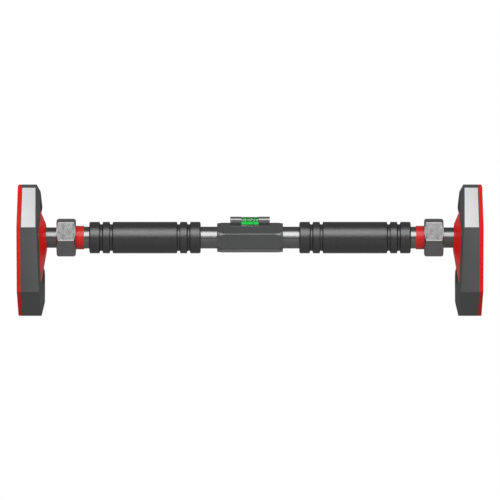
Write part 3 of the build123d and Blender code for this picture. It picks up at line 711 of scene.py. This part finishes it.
shell_grey = finish_material(
    "shell_grey", moulded,
    {"Color": (0.066, 0.068, 0.068), "Roughness": 0.42, "Grain": 1400.0, "Depth": 0.05})
pale_panel = finish_material(
    "pale_panel", moulded,
    {"Color": (0.61, 0.615, 0.62), "Roughness": 0.34, "Grain": 1600.0, "Depth": 0.04})
black_steel = finish_material(
    "black_powder_coat", moulded,
    {"Color": (0.02, 0.02, 0.021), "Roughness": 0.45, "Grain": 1100.0, "Depth": 0.3})
shell_edge = 0.0007
panel_edge = 0.0003
for shell_name in both("plate_shell"):
    softened(shell_name, radians(12), shell_edge, shell_grey, "grey_shell")
for panel_name in both("trim_panels"):
    softened(panel_name, radians(20), panel_edge, pale_panel, "pale_trim")
dress(black_steel, *both("backing_plate", "tube_socket"))
dress(zinc, *both("plate_screws", "hub_screws", "socket_bolt", "socket_bolt_nut"))


# ---- hubs -----------------------------------------------------------------------------
# Red moulded covers in the plates' windows, shaped as a low pyramid round the inner tube.
# Four screws from behind hold each one, in bosses that clear the socket's flange.
red_hub = finish_material(
    "red_hub", moulded,
    {"Color": (0.95, 0.007, 0.006), "Roughness": 0.3, "Grain": 1500.0, "Depth": 0.03},
    Coat_Weight=0.15, Coat_Roughness=0.2)
hub_edge = 0.0008
for hub_name in both("hub_cover"):
    softened(hub_name, radians(8), hub_edge, red_hub, "red_hub")


# ---- rubber pads ----------------------------------------------------------------------
# Red rubber bonded to the backing plate. Rings of grooves on its outer face bite on the
# door jamb.
red_rubber = finish_material(
    "red_rubber", moulded,
    {"Color": (0.66, 0.011, 0.01), "Roughness": 0.46, "Grain": 1200.0, "Depth": 0.06},
    Specular_IOR_Level=0.12)
pad_edge = 0.0004
for pad_name in both("rubber_pad"):
    softened(pad_name, radians(20), pad_edge, red_rubber, "red_rubber")


# ---- bubble level ---------------------------------------------------------------------
# A hexagonal housing in two halves, screwed together round the tube between the two pins'
# grooves. It turns on the tube, so that the vial on its top edge can be set upright.
level_grey = finish_material(
    "level_grey", moulded,
    {"Color": (0.047, 0.048, 0.049), "Roughness": 0.22, "Grain": 1700.0, "Depth": 0.01},
    Specular_IOR_Level=0.7, Coat_Weight=0.7, Coat_Roughness=0.14)
dress(level_grey, "level_upper_half", "level_lower_half")
dress(zinc, "level_screws")


# ---- vial -----------------------------------------------------------------------------
# A clear acrylic barrel of bright green liquid with an air bubble and two marker lines. Its
# ends are held in two dark gloss sleeves.
haze_scale = 120.0
haze_tone = 0.06
haze_gloss_change = 0.02
haze_height = 0.0001
# The weakest share of the painted glow, at the top of the barrel.
faintest_painted_glow = 0.05


def clear_group():
    """Clear plastic or liquid: a faint slow change in colour and gloss, and a painted glow, an
    emission that grows from the top of the barrel to its bottom and stands in for the light that
    gathers there."""
    group, taken, given = effect(
        "clear_body",
        [("Color", "NodeSocketColor", (1, 1, 1, 1)), ("Roughness", "NodeSocketFloat", 0.03),
         ("Painted glow", "NodeSocketColor", (0, 0, 0, 1)), ("Bottom", "NodeSocketFloat", 0.0),
         ("Top", "NodeSocketFloat", 1.0)],
        skin_outputs + [("Painted glow", "NodeSocketColor")])
    spot = node(group, "ShaderNodeTexCoord").outputs["Object"]
    height = node(group, "ShaderNodeSeparateXYZ", {0: spot})
    depth = node(group, "ShaderNodeMapRange", {
        "Value": height.outputs[2], "From Min": taken.outputs["Bottom"],
        "From Max": taken.outputs["Top"], "To Min": 1.0, "To Max": faintest_painted_glow})
    glow = node(group, "ShaderNodeVectorMath", {
        0: taken.outputs["Painted glow"], "Scale": depth.outputs[0]}, operation="SCALE")
    group.links.new(glow.outputs[0], given.inputs["Painted glow"])
    haze = node(group, "ShaderNodeTexNoise", {"Vector": spot, "Scale": haze_scale, "Detail": 2.0})
    color = tone(group, taken.outputs["Color"], haze.outputs[0], haze_tone)
    rough = gloss(group, taken.outputs["Roughness"], haze.outputs[0], haze_gloss_change)
    bump = node(group, "ShaderNodeBump", {"Strength": 0.02, "Distance": haze_height,
                                          "Height": haze.outputs[0]})
    give(group, given, color, rough, bump)
    return group


clear = clear_group()
acrylic = finish_material(
    "clear_acrylic", clear, {"Color": (0.93, 1.0, 0.94), "Roughness": 0.02},
    Transmission_Weight=1.0, IOR=1.49)
liquid_low, liquid_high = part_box("vial_liquid")
liquid_middle = liquid_low.z + 0.5 * (liquid_high.z - liquid_low.z)
# The liquid and the bubble carry painted light: a green emission, brightest at the bottom of the
# barrel, stands in for the light gathered there.
liquid = finish_material(
    "green_liquid", clear,
    {"Color": (0.005, 0.3, 0.02), "Roughness": 0.05, "Painted glow": (0.02, 1.0, 0.14),
     "Bottom": liquid_low.z, "Top": liquid_middle},
    Transmission_Weight=0.1, IOR=1.36, Emission_Strength=0.9)
bubble_air = finish_material(
    "bubble_air", clear,
    {"Color": (0.85, 1.0, 0.87), "Roughness": 0.03, "Painted glow": (0.3, 0.9, 0.3),
     "Bottom": liquid_low.z, "Top": liquid_high.z},
    Transmission_Weight=0.5, IOR=1.2, Emission_Strength=0.5)
for material in (liquid, bubble_air):
    tree = material.node_tree
    skin = next(made for made in tree.nodes if made.type == "GROUP")
    tree.links.new(skin.outputs["Painted glow"], tree.nodes["Principled BSDF"].inputs["Emission Color"])
gloss_sleeve = finish_material(
    "gloss_sleeve", drawn_metal,
    {"Color": (0.19, 0.19, 0.192), "Roughness": 0.05, "Rings": 900.0, "Depth": 0.01},
    Metallic=0.7)
marker_ink = finish_material(
    "marker_ink", moulded,
    {"Color": (0.01, 0.04, 0.012), "Roughness": 0.4, "Grain": 2000.0, "Depth": 0.05})
dress(acrylic, "vial_tube")
dress(liquid, "vial_liquid")
dress(bubble_air, "vial_bubble")
dress(gloss_sleeve, "vial_sleeves")
dress(marker_ink, "vial_marker_rings")
